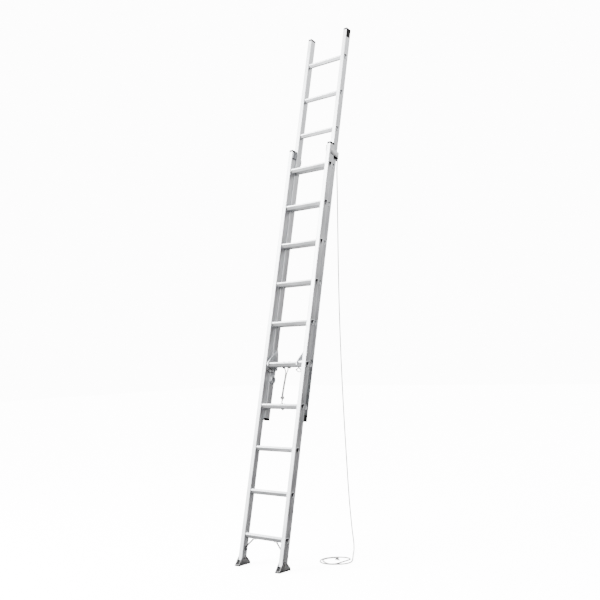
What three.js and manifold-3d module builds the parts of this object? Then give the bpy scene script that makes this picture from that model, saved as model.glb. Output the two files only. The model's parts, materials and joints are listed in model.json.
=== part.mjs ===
// Two-section rope extension ladder, leaning as it stands in use. Millimetres, +Z up.
// The ladder's own frame has X across the rungs, Y through the ladder from the climber's side to
// the wall side, and Z up the stiles from the lowest base rung. One group leans that frame over.
import * as THREE from 'three';
import { mergeVertices } from 'three/addons/utils/BufferGeometryUtils.js';
import Module from 'manifold-3d';

const wasm = await Module();
wasm.setup();

// ---- sizes that set the whole ladder
const lean = THREE.MathUtils.degToRad(13);
const rungPitch = 330;
const rungCount = 10;
const raisedRungs = 3; // the fly stands this many rungs above the base
const fit = 0.3; // clearance between pieces that touch
const sides = [['left', -1], ['right', 1]];
const cutMargin = { inside: 75, outside: 40 };

const base = { width: 442, stile: 35, depth: 52, lip: 8, lipWall: 2.5, wall: 2, above: 188 };
const fly = {
  inset: 10.5, stile: 35, depth: 57, wall: 2.2, rib: 2.5, recess: 4, above: 259, below: 110, rise: 5,
};
const sectionGap = 1.5; // between the back of the base stiles and the front of the fly stiles
const rungSize = { halfTread: 9, rise: 9.5, drop: 10.5, round: 9, wall: 2, collar: 2.5, flare: 2.5 };
const cap = { plate: 9, plug: 16, flyTopSkirt: 66, flyBottomSkirt: 38, play: 0.5 };
const strip = { thick: 2.7, above: 45 };
const foot = { drop: 164, height: 56, stileBelow: 22, bolt: 5, head: 9, headThick: 5, plate: 3 };
const shoe = { front: 64, back: 64, topHalf: 20, above: 20, gap: 0.5 };
const sole = { thick: 9.7, front: 67, back: 63, chamfer: 4 };
const brace = { width: 18, thick: 3, reach: 68, drop: 66, tab: 24, head: 6, setBack: 4 };
const guide = { sheet: 3, low: 83, high: 130, front: 8, rearGap: 5, rearInset: 0.5, sliderDrop: 9 };
const guideBlock = { low: 113, high: 164, thick: 10, inset: 5, lid: 5, lidOver: 2 };
const sheave = {
  inset: 36, above: 92, pitchRadius: 22, flange: 26, width: 15, rim: 1.2, play: 2, axle: 5, axleHead: 8,
};
const rope = { radius: 4.5, sides: 8 };
const lock = {
  plate: 3, pin: 6, tonguePin: 4, washer: 4, hook: 8, tongue: 6, stand: 4, rightInset: 28, play: 0.5,
  baseRung: 26,
  drawnFor: 52.806, // how far the two rungs stand apart where the outlines have their drawn depth
};
const hookSwing = { degrees: 50, steps: 24 };
const coil = { x: 328, y: 465, inner: 96, outer: 120, height: 15 };

// ---- sizes that follow from them
const flyFront = base.depth + sectionGap;
const flyBack = flyFront + fly.depth;
const baseOuter = base.width / 2;
const baseInner = baseOuter - base.stile;
const flyOuter = baseOuter - fly.inset;
const flyInner = flyOuter - fly.stile;
const cutFrom = flyInner - cutMargin.inside; // a cut through one side of the ladder runs from here
const cutTo = baseOuter + cutMargin.outside;
const baseRungY = base.depth / 2;
const rungFront = rungSize.halfTread * Math.cos(lean) + rungSize.rise * Math.sin(lean) + rungSize.round;
const flyRungY = flyFront + fly.rib + rungSize.flare + rungFront + 0.4;
const flyFace = flyOuter - fly.recess; // the outer wall of the fly stile, between its two ribs
const topRungZ = (rungCount - 1) * rungPitch;
const baseTop = topRungZ + base.above;
const flyRungZ = index => (index + raisedRungs) * rungPitch + fly.rise;
const flyTop = flyRungZ(rungCount - 1) + fly.above;
const flyBottom = flyRungZ(0) - fly.below;
const lockZ = (raisedRungs + 1) * rungPitch; // the base rung that the hooks hold

const finishes = {
  aluminium: [0xc9cbce, 0.38, 0.9],
  rung: [0xc2c4c7, 0.42, 0.9],
  castAluminium: [0xaeb1b5, 0.5, 0.85],
  steel: [0x9a9da1, 0.35, 0.95],
  blackPlastic: [0x17181a, 0.55, 0],
  rubber: [0x1b1b1c, 0.85, 0],
  rope: [0xcfd0d0, 0.9, 0],
};

const object = new THREE.Group();
const ladder = new THREE.Group();
ladder.rotation.x = -lean;
const footOnLadder = new THREE.Vector3(0, baseRungY, -foot.drop).applyEuler(ladder.rotation);
ladder.position.set(0, -footOnLadder.y, foot.height - footOnLadder.z);
object.add(ladder);

// ---- making pieces
function piece(parent, name, geometry, finish) {
  const [color, roughness, metalness] = finishes[finish];
  const material = new THREE.MeshStandardMaterial({ color, roughness, metalness });
  const mesh = new THREE.Mesh(geometry, material);
  mesh.name = name;
  parent.add(mesh);
  return mesh;
}

// A closed geometry as a solid that can be joined and cut.
function solid(geometry) {
  const bare = geometry.clone();
  bare.deleteAttribute('normal');
  bare.deleteAttribute('uv');
  const merged = mergeVertices(bare, 1e-3);
  const vertProperties = Float32Array.from(merged.attributes.position.array);
  const triVerts = Uint32Array.from(merged.index.array);
  return new wasm.Manifold(new wasm.Mesh({ numProp: 3, vertProperties, triVerts }));
}

function geometryOf(manifold) {
  const mesh = manifold.getMesh();
  const geometry = new THREE.BufferGeometry();
  geometry.setAttribute('position', new THREE.BufferAttribute(mesh.vertProperties, 3));
  geometry.setIndex(new THREE.BufferAttribute(mesh.triVerts, 1));
  geometry.computeVertexNormals();
  return geometry;
}

function joined(first, ...others) {
  return others.reduce((sum, next) => sum.add(solid(next)), solid(first));
}

function cut(body, ...tools) {
  return tools.reduce((left, tool) => left.subtract(solid(tool)), body);
}

// A straight-sided outline, always counter-clockwise, so that a mirrored one is still the right way out.
function outline(points) {
  const corners = points.map(([x, y]) => new THREE.Vector2(x, y));
  return new THREE.Shape(THREE.ShapeUtils.isClockWise(corners) ? corners.reverse() : corners);
}

// An outline in X and Y drawn out along Z.
function prismUp(shape, z0, z1) {
  const settings = { depth: z1 - z0, bevelEnabled: false, curveSegments: 6 };
  const geometry = new THREE.ExtrudeGeometry(shape, settings);
  return geometry.translate(0, 0, z0);
}

// An outline in Y and Z drawn out along X.
function prismAcross(shape, x0, x1) {
  const [low, high] = [Math.min(x0, x1), Math.max(x0, x1)];
  const turn = new THREE.Matrix4().makeBasis(
    new THREE.Vector3(0, 1, 0), new THREE.Vector3(0, 0, 1), new THREE.Vector3(1, 0, 0));
  return prismUp(shape, low, high).applyMatrix4(turn);
}

// An outline in X and Z drawn out along Y.
function prismThrough(shape, y0, y1) {
  return prismUp(shape, -y1, -y0).rotateX(Math.PI / 2);
}

function block(x0, x1, y0, y1, z0, z1) {
  const geometry = new THREE.BoxGeometry(Math.abs(x1 - x0), Math.abs(y1 - y0), Math.abs(z1 - z0));
  return geometry.translate((x0 + x1) / 2, (y0 + y1) / 2, (z0 + z1) / 2);
}

function rodAcross(x0, x1, y, z, radius, segments = 16) {
  const geometry = new THREE.CylinderGeometry(radius, radius, Math.abs(x1 - x0), segments);
  return geometry.rotateZ(Math.PI / 2).translate((x0 + x1) / 2, y, z);
}

function rodThrough(y0, y1, x, z, radius, segments = 16) {
  const geometry = new THREE.CylinderGeometry(radius, radius, Math.abs(y1 - y0), segments);
  return geometry.translate(x, (y0 + y1) / 2, z);
}

// A round tube along a smooth curve through some points.
function tubeAlong(points, radius, steps) {
  const corners = Array.from({ length: rope.sides }, (_, i) => {
    const angle = (2 * Math.PI * i) / rope.sides;
    return [radius * Math.cos(angle), radius * Math.sin(angle)];
  });
  const path = new THREE.CatmullRomCurve3(points.map(p => new THREE.Vector3(...p)), false, 'centripetal');
  return new THREE.ExtrudeGeometry(outline(corners), { steps, bevelEnabled: false, extrudePath: path });
}

function rotated([y, z], angle) {
  return [y * Math.cos(angle) - z * Math.sin(angle), y * Math.sin(angle) + z * Math.cos(angle)];
}

// The rung's section, grown by some millimetres: a rounded triangle, point down, whose tread is
// level when the ladder leans.
function rungOutline(grow, centreY, centreZ) {
  const { halfTread, rise, drop, round } = rungSize;
  const corners = [[-halfTread, rise], [0, -drop], [halfTread, rise]];
  const points = [];
  corners.forEach((corner, i) => {
    const before = corners[(i + 2) % 3];
    const after = corners[(i + 1) % 3];
    const start = outwardAngle(before, corner);
    let sweep = outwardAngle(corner, after) - start;
    while (sweep < 0) sweep += 2 * Math.PI;
    for (let k = 0; k <= 2; k++) {
      const angle = start + (sweep * k) / 2;
      const radius = round + grow;
      const point = [corner[0] + radius * Math.cos(angle), corner[1] + radius * Math.sin(angle)];
      const [y, z] = rotated(point, lean);
      points.push([centreY + y, centreZ + z]);
    }
  });
  return outline(points);
}

// The direction that a side of a counter-clockwise outline faces.
function outwardAngle(from, to) {
  return Math.atan2(to[1] - from[1], to[0] - from[0]) - Math.PI / 2;
}

// ---- base section
function baseStile(side) {
  const shape = outline([
    [side * baseInner, 0], [side * baseOuter, 0], [side * baseOuter, base.depth + base.lip],
    [side * (baseOuter - base.lipWall), base.depth + base.lip],
    [side * (baseOuter - base.lipWall), base.depth], [side * baseInner, base.depth]]);
  const bore = outline([
    [side * (baseInner + base.wall), base.wall], [side * (baseOuter - base.lipWall), base.wall],
    [side * (baseOuter - base.lipWall), base.depth - base.wall],
    [side * (baseInner + base.wall), base.depth - base.wall]]);
  shape.holes.push(bore);
  const top = baseTop - cap.plate - fit;
  const stile = solid(prismUp(shape, -foot.drop - foot.stileBelow, top));
  const holes = rungLevels(i => i * rungPitch).map(z => rungHole(side, baseRungY, z));
  const boltHole = rodAcross(side * cutFrom, side * cutTo, baseRungY, -foot.drop, foot.bolt + fit);
  return geometryOf(cut(stile, ...holes, boltHole));
}

function rungLevels(level) {
  return Array.from({ length: rungCount }, (_, i) => level(i));
}

function rungHole(side, y, z) {
  return rungCut(side, fit, y, z);
}

// What a rung takes out of one side of the ladder, with some clearance.
function rungCut(side, clearance, y, z) {
  return prismAcross(rungOutline(clearance, y, z), side * cutFrom, side * cutTo);
}

// A hollow rung whose ends are flared over the outside of the wall that they pass through.
function rung(wallFace, y, z) {
  const end = wallFace + fit + rungSize.collar;
  const tube = solid(prismAcross(rungOutline(0, y, z), -end, end));
  const collars = sides.map(([, side]) =>
    solid(prismAcross(rungOutline(rungSize.flare, y, z), side * (wallFace + fit), side * end)));
  const body = collars.reduce((sum, collar) => sum.add(collar), tube);
  return geometryOf(cut(body, prismAcross(rungOutline(-rungSize.wall, y, z), -end - 1, end + 1)));
}

function baseCap(side) {
  const plate = block(side * baseInner, side * baseOuter, 0, base.depth, baseTop - cap.plate, baseTop);
  const play = base.wall + cap.play;
  const plug = block(side * (baseInner + play), side * (baseOuter - base.lipWall - cap.play),
    play, base.depth - play, baseTop - cap.plate - cap.plug, baseTop - 1);
  return geometryOf(joined(plate, plug));
}

// A bent strap from under the lowest rung down to the inside of the stile.
function rungBrace(side) {
  const stileFace = baseInner - fit;
  const rungFace = -(rungSize.drop + rungSize.round) * Math.cos(lean) - 1;
  const t = brace.thick;
  const inner = stileFace - brace.reach;
  const low = rungFace - brace.drop;
  const strap = outline([
    [side * (inner - brace.tab), rungFace], [side * (inner - brace.tab), rungFace - t],
    [side * inner, rungFace - t], [side * (stileFace - t), low], [side * (stileFace - t), low - brace.tab],
    [side * stileFace, low - brace.tab], [side * stileFace, low + t], [side * (inner + t), rungFace]]);
  const y = baseRungY + brace.setBack;
  const boltZ = low - brace.tab / 2;
  const bolt = rodAcross(side * (stileFace - t - 5), side * (stileFace - 1), y, boltZ, brace.head, 8);
  return geometryOf(joined(prismThrough(strap, y - brace.width / 2, y + brace.width / 2), bolt));
}

// ---- feet: a folded steel shoe that swivels on a bolt, with a rubber sole
const footGroup = new THREE.Group();
object.add(footGroup);

function shoeShell(side) {
  const floor = sole.thick + fit;
  const inside = baseInner - shoe.gap;
  const outside = baseOuter + shoe.gap;
  const cheek = outline([[-shoe.front, floor], [shoe.back, floor], [shoe.back - 3, floor + 9],
    [shoe.topHalf, foot.height + shoe.above - 6], [shoe.topHalf - 7, foot.height + shoe.above],
    [-shoe.topHalf + 7, foot.height + shoe.above], [-shoe.topHalf, foot.height + shoe.above - 6]]);
  const bottom = block(side * (inside - foot.plate), side * (outside + foot.plate),
    -shoe.front, shoe.back, floor, floor + foot.plate);
  const cheeks = [inside - foot.plate, outside].map(x =>
    prismAcross(cheek, side * x, side * (x + foot.plate)));
  const bore = rodAcross(side * cutFrom, side * cutTo, 0, foot.height, foot.bolt + fit);
  return geometryOf(cut(joined(bottom, ...cheeks), bore));
}

function shoeSole(side) {
  const shape = outline([[-sole.front, sole.chamfer], [-sole.front + sole.chamfer, 0], [sole.back, 0],
    [sole.back, sole.thick], [-sole.front, sole.thick]]);
  const reach = shoe.gap + foot.plate;
  return prismAcross(shape, side * (baseInner - reach), side * (baseOuter + reach));
}

function footBolt(side) {
  const reach = shoe.gap + foot.plate + fit;
  const [y, z] = [baseRungY, -foot.drop];
  const near = side * (baseInner - reach);
  const far = side * (baseOuter + reach);
  const shank = rodAcross(near - side, far + side, y, z, foot.bolt);
  const heads = [[near - side * foot.headThick, near], [far, far + side * foot.headThick]];
  return geometryOf(joined(shank, ...heads.map(([a, b]) => rodAcross(a, b, y, z, foot.head, 6))));
}

// ---- top guides: folded brackets on the base that hold the fly stiles against it
const guideZ = topRungZ;
const guideOuter = baseOuter + fit;
const guideRear = flyBack + guide.rearGap;

function guideBracket(side) {
  const { sheet, low, high, front } = guide;
  const arm = outline([[front, low + 7], [front + 34, low + 3], [front + 62, low], [guideRear + sheet, low],
    [guideRear + sheet, high], [front + 20, high], [front, high - 12]]);
  const outerArm = prismAcross(arm, side * guideOuter, side * (guideOuter + sheet));
  const rearArm = block(side * (flyInner + guide.rearInset), side * (guideOuter + sheet),
    guideRear, guideRear + sheet, low, high);
  const body = joined(outerArm.translate(0, 0, guideZ), rearArm.translate(0, 0, guideZ));
  if (side < 0) return geometryOf(body);
  const axle = rodThrough(guideRear - 5, guideRear + sheet + 5, sheaveX, sheaveZ, sheave.axle + fit);
  return geometryOf(cut(body, axle));
}

// A plastic pad between the bracket and the outside of the fly stile.
function guideSlider(side) {
  return block(side * (flyOuter + 1), side * (guideOuter - fit), base.depth + base.lip + 2,
    flyBack - 2, guideZ + guide.low - guide.sliderDrop, guideZ + guide.high - 6);
}

// A pad on the inside of the base stile, just under its cap, with a slightly wider lid.
function guideInnerBlock(side) {
  const { low, high, thick, inset, lid, lidOver } = guideBlock;
  const near = baseInner - fit;
  const under = guideZ + high - lid;
  const body = block(side * (near - thick), side * near, inset, base.depth - inset, guideZ + low, under + 1);
  const cover = block(side * (near - thick - lidOver), side * near, inset - lidOver,
    base.depth - inset + lidOver, under, guideZ + high);
  return geometryOf(joined(body, cover));
}

// ---- pulley behind the right-hand guide
const sheaveX = baseOuter - sheave.inset;
const sheaveY = guideRear + guide.sheet + sheave.play + sheave.width / 2;
const sheaveZ = guideZ + sheave.above;
const ropeOut = sheaveX + sheave.pitchRadius; // the side that the free end leaves by

function pulleySheave() {
  const half = sheave.width / 2;
  const bottom = sheave.pitchRadius - rope.radius - 0.4;
  const bore = sheave.axle + fit;
  const groove = rope.radius + 0.6;
  const profile = [[bore, -half], [sheave.flange, -half], [sheave.flange, -half + sheave.rim],
    [bottom, -groove], [bottom, groove], [sheave.flange, half - sheave.rim], [sheave.flange, half],
    [bore, half], [bore, -half]];
  const geometry = new THREE.LatheGeometry(profile.map(([r, y]) => new THREE.Vector2(r, y)), 20);
  return geometry.translate(sheaveX, sheaveY, sheaveZ);
}

function pulleyCheek() {
  const back = sheaveY + sheave.width / 2 + sheave.play;
  const top = sheaveZ + sheave.flange + rope.radius + 4;
  const front = guideRear + guide.sheet + fit;
  const face = outline([[sheaveX - 9, sheaveZ - 12], [sheaveX + 9, sheaveZ - 12], [sheaveX + 15, sheaveZ + 4],
    [sheaveX + 15, top], [sheaveX - 15, top], [sheaveX - 15, sheaveZ + 4]]);
  const plate = prismThrough(face, back, back + guide.sheet);
  const bridge = block(sheaveX - 15, sheaveX + 15, front, back + 1, top - guide.sheet, top);
  const bore = rodThrough(back - 2, back + 5, sheaveX, sheaveZ, sheave.axle + fit);
  return geometryOf(cut(joined(plate, bridge), bore));
}

function pulleyAxle() {
  const back = sheaveY + sheave.width / 2 + sheave.play + guide.sheet + fit;
  const front = guideRear - fit;
  const shank = rodThrough(guideRear - 1, back + 1, sheaveX, sheaveZ, sheave.axle);
  const head = rodThrough(back, back + 4, sheaveX, sheaveZ, sheave.axleHead, 6);
  const rivet = rodThrough(front - 1.5, front, sheaveX, sheaveZ, sheave.axleHead, 12);
  return geometryOf(joined(shank, head, rivet));
}

// ---- fly section
function flyStile(side) {
  const shape = outline([
    [side * flyInner, flyFront], [side * flyOuter, flyFront], [side * flyOuter, flyFront + fly.rib],
    [side * flyFace, flyFront + fly.rib], [side * flyFace, flyBack - fly.rib],
    [side * flyOuter, flyBack - fly.rib], [side * flyOuter, flyBack], [side * flyInner, flyBack]]);
  shape.holes.push(outline([
    [side * (flyInner + fly.wall), flyFront + fly.wall], [side * (flyFace - fly.wall), flyFront + fly.wall],
    [side * (flyFace - fly.wall), flyBack - fly.wall], [side * (flyInner + fly.wall), flyBack - fly.wall]]));
  const stile = solid(prismUp(shape, flyBottom + cap.plate + fit, flyTop - cap.plate - fit));
  return geometryOf(cut(stile, ...rungLevels(flyRungZ).map(z => rungHole(side, flyRungY, z))));
}

// A plate over the stile's end, a plug inside it and a skirt down the recess of its outer wall.
function flyCap(side, end, inward, skirt) {
  const play = fly.wall + cap.play;
  const inside = end + inward;
  const plate = block(side * flyInner, side * flyOuter, flyFront, flyBack, end, end + inward * cap.plate);
  const plug = block(side * (flyInner + play), side * (flyFace - play), flyFront + play, flyBack - play,
    inside, end + inward * (cap.plate + cap.plug));
  const cover = block(side * (flyFace + fit), side * flyOuter, flyFront + fly.rib + cap.play,
    flyBack - fly.rib - cap.play, inside, end + inward * (cap.plate + skirt));
  return geometryOf(joined(plate, plug, cover));
}

// A wear strip in the recess, past the lowest two rungs.
function flyStrip(side) {
  const low = flyBottom + cap.plate + cap.flyBottomSkirt + 2;
  const body = block(side * (flyFace + fit), side * (flyFace + fit + strip.thick),
    flyFront + fly.rib + cap.play, flyBack - fly.rib - cap.play, low, lockZ + strip.above);
  const holes = [0, 1].map(i => rungCut(side, rungSize.flare + fit, flyRungY, flyRungZ(i)));
  return geometryOf(cut(solid(body), ...holes));
}

// ---- locks: gravity hooks on the fly that drop over a rung of the base
const lockSpread = (flyRungY - baseRungY) / lock.drawnFor;
const hookPivot = lockPoint([103, -24]);
const tonguePivot = lockPoint([66, -47]);
const lockOuter = flyInner - fit;

// The outer faces of the hook and the tongue; the right-hand pair stands further in.
function hookOuter(side) {
  return lockOuter - lock.plate - lock.stand - (side > 0 ? lock.rightInset : 0);
}

// A point of a lock, its height measured from the base rung that the hooks hold; its depth keeps
// its place between that rung and the rung of the fly that carries the lock.
function lockPoint([y, z]) {
  return [baseRungY + (y - lock.baseRung) * lockSpread, lockZ + z];
}

function lockOutline(points) {
  return outline(points.map(lockPoint));
}

function lockPlate(side) {
  const body = lockOutline([[52, -62], [52, 40], [104, 40], [110, 20], [110, -62], [104, -100], [98, -100],
    [64, -100], [58, -84]]);
  const plate = prismAcross(body, side * (lockOuter - lock.plate), side * lockOuter);
  const pins = [[hookPivot, lock.pin, lock.hook], [tonguePivot, lock.tonguePin, lock.tongue]];
  const posts = pins.flatMap(pin => lockPin(side, ...pin));
  const whole = joined(plate, ...posts).add(fingerRing(side));
  return geometryOf(cut(whole, rungCut(side, lock.play, flyRungY, lockZ + fly.rise)));
}

// A pin with its head inside the swinging piece and a spacer between that piece and the plate.
function lockPin(side, [y, z], radius, thick) {
  const end = hookOuter(side) - thick - lock.play;
  const wide = radius + lock.washer;
  return [rodAcross(side * (end - 1), side * (lockOuter - 1), y, z, radius, 12),
    rodAcross(side * (end - lock.washer), side * end, y, z, wide, 12),
    rodAcross(side * (hookOuter(side) + lock.play), side * (lockOuter - 1), y, z, wide, 12)];
}

// The oval ring under the lock plate.
function fingerRing(side) {
  return ringAcross(side * (lockOuter - 12), side * lockOuter, ...lockPoint([84, -112]), 27, 34, 14);
}

// An upright oval ring.
function ringAcross(x0, x1, y, z, halfY, halfZ, inset) {
  const oval = (a, b) => new THREE.Shape().absellipse(y, z, a, b, 0, 2 * Math.PI);
  return solid(prismAcross(oval(halfY, halfZ), x0, x1))
    .subtract(solid(prismAcross(oval(halfY - inset, halfZ - inset), x0 - 30, x1 + 30)));
}

function hookPlate(side) {
  const [py, pz] = hookPivot;
  const body = lockOutline([[-5, -10], [-2, -14], [4, -14], [6, -8], [6, 8], [14, 21], [30, 24], [48, 30],
    [56, 34], [90, 34], [99, 27], [97, 8], [93, -12], [94, -34], [112, -34], [116, -22], [115, 30],
    [107, 90], [97, 131], [92, 129], [61, 102], [33, 68], [10, 36], [-4, 14]]);
  const [near, far] = [side * (hookOuter(side) - lock.hook), side * hookOuter(side)];
  const boss = rodAcross(near, far, py, pz, 13, 16);
  const plate = joined(prismAcross(body, near, far), boss);
  const bore = rodAcross(side * cutFrom, side * cutTo, py, pz, lock.pin + fit, 12);
  const flyRung = rungCut(side, lock.play, flyRungY, lockZ + fly.rise);
  return geometryOf(cut(plate, bore, flyRung, ...rungOnTheWayOut(side)));
}

// Where the base rung passes as the hook swings off it, so that the mouth lets it out.
function rungOnTheWayOut(side) {
  const [py, pz] = hookPivot;
  return Array.from({ length: hookSwing.steps + 1 }, (_, i) => {
    const angle = THREE.MathUtils.degToRad((hookSwing.degrees * i) / hookSwing.steps);
    const passing = rungCut(side, lock.play, baseRungY, lockZ);
    return passing.translate(0, -py, -pz).rotateX(angle).translate(0, py, pz);
  });
}

function tonguePlate(side) {
  const [py, pz] = tonguePivot;
  const shape = lockOutline([[66, -38], [28, -24], [-6, -50], [28, -64], [66, -56]]);
  shape.holes.push(lockOutline([[58, -43], [30, -31], [5, -50], [29, -58], [58, -51]]));
  const [near, far] = [side * (hookOuter(side) - lock.tongue), side * hookOuter(side)];
  const boss = rodAcross(near, far, py, pz, 9, 14);
  const bore = rodAcross(side * cutFrom, side * cutTo, py, pz, lock.tonguePin + fit, 12);
  return geometryOf(cut(joined(prismAcross(shape, near, far), boss), bore));
}

// ---- ropes
// The lifting run: over the sheave, down behind the fly and along its rung to the hitch.
const hitchX = -35;
const behindRung = flyRungY + rungFront + rope.radius + 1;
const liftEnd = [hitchX + 34, behindRung, lockZ + fly.rise];

function liftingRope() {
  const side = sheaveX - sheave.pitchRadius;
  const overSheave = Array.from({ length: 9 }, (_, i) => {
    const angle = THREE.MathUtils.degToRad(4 + 22 * i);
    const [across, up] = [sheave.pitchRadius * Math.cos(angle), sheave.pitchRadius * Math.sin(angle)];
    return [sheaveX + across, sheaveY, sheaveZ + up];
  });
  const turn = tubeAlong(overSheave, rope.radius, 12);
  const run = tubeAlong([[side, sheaveY, sheaveZ + 1], [side, sheaveY, sheaveZ - 60],
    [side, sheaveY, lockZ + 900], [side, sheaveY - 1, lockZ + 420], [150, 125, lockZ + 300],
    [122, 122, lockZ + 165], [108, 116, lockZ + 80], [92, 109, lockZ + 28], [70, behindRung, lockZ + 8],
    [40, behindRung, lockZ + fly.rise], liftEnd], rope.radius, 40);
  return geometryOf(joined(turn, run));
}

// The hitch: two wraps on one rung of the fly, two strands down, a knot and a wrap on the rung below.
function ropeTie() {
  const upper = flyRungZ(1);
  const lower = flyRungZ(0);
  const wrap = (x, z) => {
    const outside = rungOutline(fit + 0.2 + 2 * rope.radius, flyRungY, z);
    const ring = solid(prismAcross(outside, x - rope.radius, x + rope.radius));
    return cut(ring, prismAcross(rungOutline(fit + 0.2, flyRungY, z), x - 20, x + 20));
  };
  const under = rungSize.drop + rungSize.round + rope.radius;
  const over = rungSize.rise + rungSize.round + rope.radius - 1;
  const strand = dx => tubeAlong([[hitchX + 5 * dx, flyRungY + 2, upper - under],
    [hitchX + 3 * dx, flyRungY + 4, upper - under - 18], [hitchX + dx, flyRungY + 5, upper - 72],
    [hitchX - 8 + dx, flyRungY + 5, upper - 160],
    [hitchX - 12 + dx, flyRungY + 5, lower + 84]], rope.radius, 10);
  const ball = new THREE.SphereGeometry(1, 12, 8).scale(19, 16, 25);
  const knot = ball.translate(hitchX - 10, flyRungY + 5, lower + 70);
  const tails = tubeAlong([[hitchX - 6, flyRungY + 5, lower + 62], [hitchX + 2, flyRungY + 3, lower + 40],
    [hitchX + 4, flyRungY + 2, lower + over]], rope.radius, 6);
  const parts = [wrap(hitchX - 27, upper), wrap(hitchX + 27, upper), wrap(hitchX + 4, lower)];
  const strands = [strand(-5), strand(5), knot, tails].map(solid);
  return geometryOf([...parts, ...strands].reduce((sum, next) => sum.add(next)));
}

// The free end, in the object's upright frame: down from the sheave, then over the floor to its coil.
const ropeExit = ladder.localToWorld(new THREE.Vector3(ropeOut, sheaveY, sheaveZ - fit));
const ropeRoute = [[206, 816, 3120], [205, 812, 3050], [203, 810, 2900], [198, 806, 2600], [192, 802, 2250],
  [189, 799, 1900], [190, 798, 1550], [194, 800, 1200], [201, 806, 800], [210, 815, 400], [220, 826, 160],
  [229, 829, 62], [238, 817, 25], [249, 801, 11], [264, 778, 6.2], [300, 724, 5], [347, 658, 4.8],
  [394, 592, 4.8], [432.8, 533.1, 4.8]];

function freeRope() {
  return tubeAlong([ropeExit.toArray(), ...ropeRoute], rope.radius, 76);
}

function floorCoil() {
  const { inner, outer, height, x, y } = coil;
  const profile = [[inner, 0.3], [outer, 0.3], [outer, height - 4], [outer - 5, height], [inner + 5, height],
    [inner, height - 4], [inner, 0.3]];
  const geometry = new THREE.LatheGeometry(profile.map(([r, z]) => new THREE.Vector2(r, z)), 32);
  return geometry.rotateX(Math.PI / 2).translate(x, y, 0);
}

// The rope's end leaves the coil inwards and stops in a knot.
function endKnot() {
  const tail = tubeAlong([[285, 545, 4.8], [292, 534, 4.8], [303, 519, 7], [309, 505, 9]], rope.radius, 8);
  const knot = new THREE.SphereGeometry(1, 12, 8).scale(15, 15, 9).translate(309, 503, 9.3);
  const tip = tubeAlong([[312, 503, 8], [326, 498, 6], [341, 494, 4.8]], rope.radius, 5);
  return geometryOf(joined(tail, knot, tip));
}

// ---- the whole ladder
object.updateMatrixWorld(true);
const twoDigits = i => String(i + 1).padStart(2, '0');
for (let i = 0; i < rungCount; i++) {
  piece(ladder, `base_rung_${twoDigits(i)}`, rung(baseOuter, baseRungY, i * rungPitch), 'rung');
  piece(ladder, `fly_rung_${twoDigits(i)}`, rung(flyFace, flyRungY, flyRungZ(i)), 'rung');
}
for (const [word, side] of sides) {
  piece(ladder, `base_stile_${word}`, baseStile(side), 'aluminium');
  piece(ladder, `base_cap_${word}`, baseCap(side), 'blackPlastic');
  piece(ladder, `rung_brace_${word}`, rungBrace(side), 'steel');
  piece(ladder, `foot_bolt_${word}`, footBolt(side), 'steel');
  piece(footGroup, `shoe_${word}`, shoeShell(side), 'steel');
  piece(footGroup, `shoe_sole_${word}`, shoeSole(side), 'rubber');
  piece(ladder, `guide_bracket_${word}`, guideBracket(side), 'steel');
  piece(ladder, `guide_slider_${word}`, guideSlider(side), 'blackPlastic');
  piece(ladder, `guide_block_${word}`, guideInnerBlock(side), 'blackPlastic');
  piece(ladder, `fly_stile_${word}`, flyStile(side), 'aluminium');
  piece(ladder, `fly_top_cap_${word}`, flyCap(side, flyTop, -1, cap.flyTopSkirt), 'blackPlastic');
  piece(ladder, `fly_bottom_cap_${word}`, flyCap(side, flyBottom, 1, cap.flyBottomSkirt), 'blackPlastic');
  piece(ladder, `fly_strip_${word}`, flyStrip(side), 'blackPlastic');
  piece(ladder, `lock_plate_${word}`, lockPlate(side), 'castAluminium');
  piece(ladder, `lock_hook_${word}`, hookPlate(side), 'castAluminium');
  piece(ladder, `lock_tongue_${word}`, tonguePlate(side), 'castAluminium');
}
piece(ladder, 'pulley_sheave', pulleySheave(), 'blackPlastic');
piece(ladder, 'pulley_cheek', pulleyCheek(), 'steel');
piece(ladder, 'pulley_axle', pulleyAxle(), 'steel');
piece(ladder, 'rope_lift', liftingRope(), 'rope');
piece(ladder, 'rope_tie', ropeTie(), 'rope');

// The origin is on the floor, under the middle of the ladder without its free rope.
object.updateMatrixWorld(true);
const bounds = new THREE.Box3().setFromObject(object, true);
const ropes = new THREE.Group();
object.add(ropes);
piece(ropes, 'rope_free', freeRope(), 'rope');
piece(ropes, 'rope_coil', floorCoil(), 'rope');
piece(ropes, 'rope_end_knot', endKnot(), 'rope');
const centre = bounds.getCenter(new THREE.Vector3());
object.position.set(-centre.x, -centre.y, -bounds.min.z);

export default object;
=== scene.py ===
# Looks for a leaning two-section extension ladder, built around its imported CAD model. Metres.
# Ladder coordinates run across the rungs, through the ladder towards the wall, and up the stiles
# from the lowest base rung; onLadder() leans them into the upright frame.
import bpy
import bmesh
import json
import math
import numpy as np
from mathutils import Matrix, Vector


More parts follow.
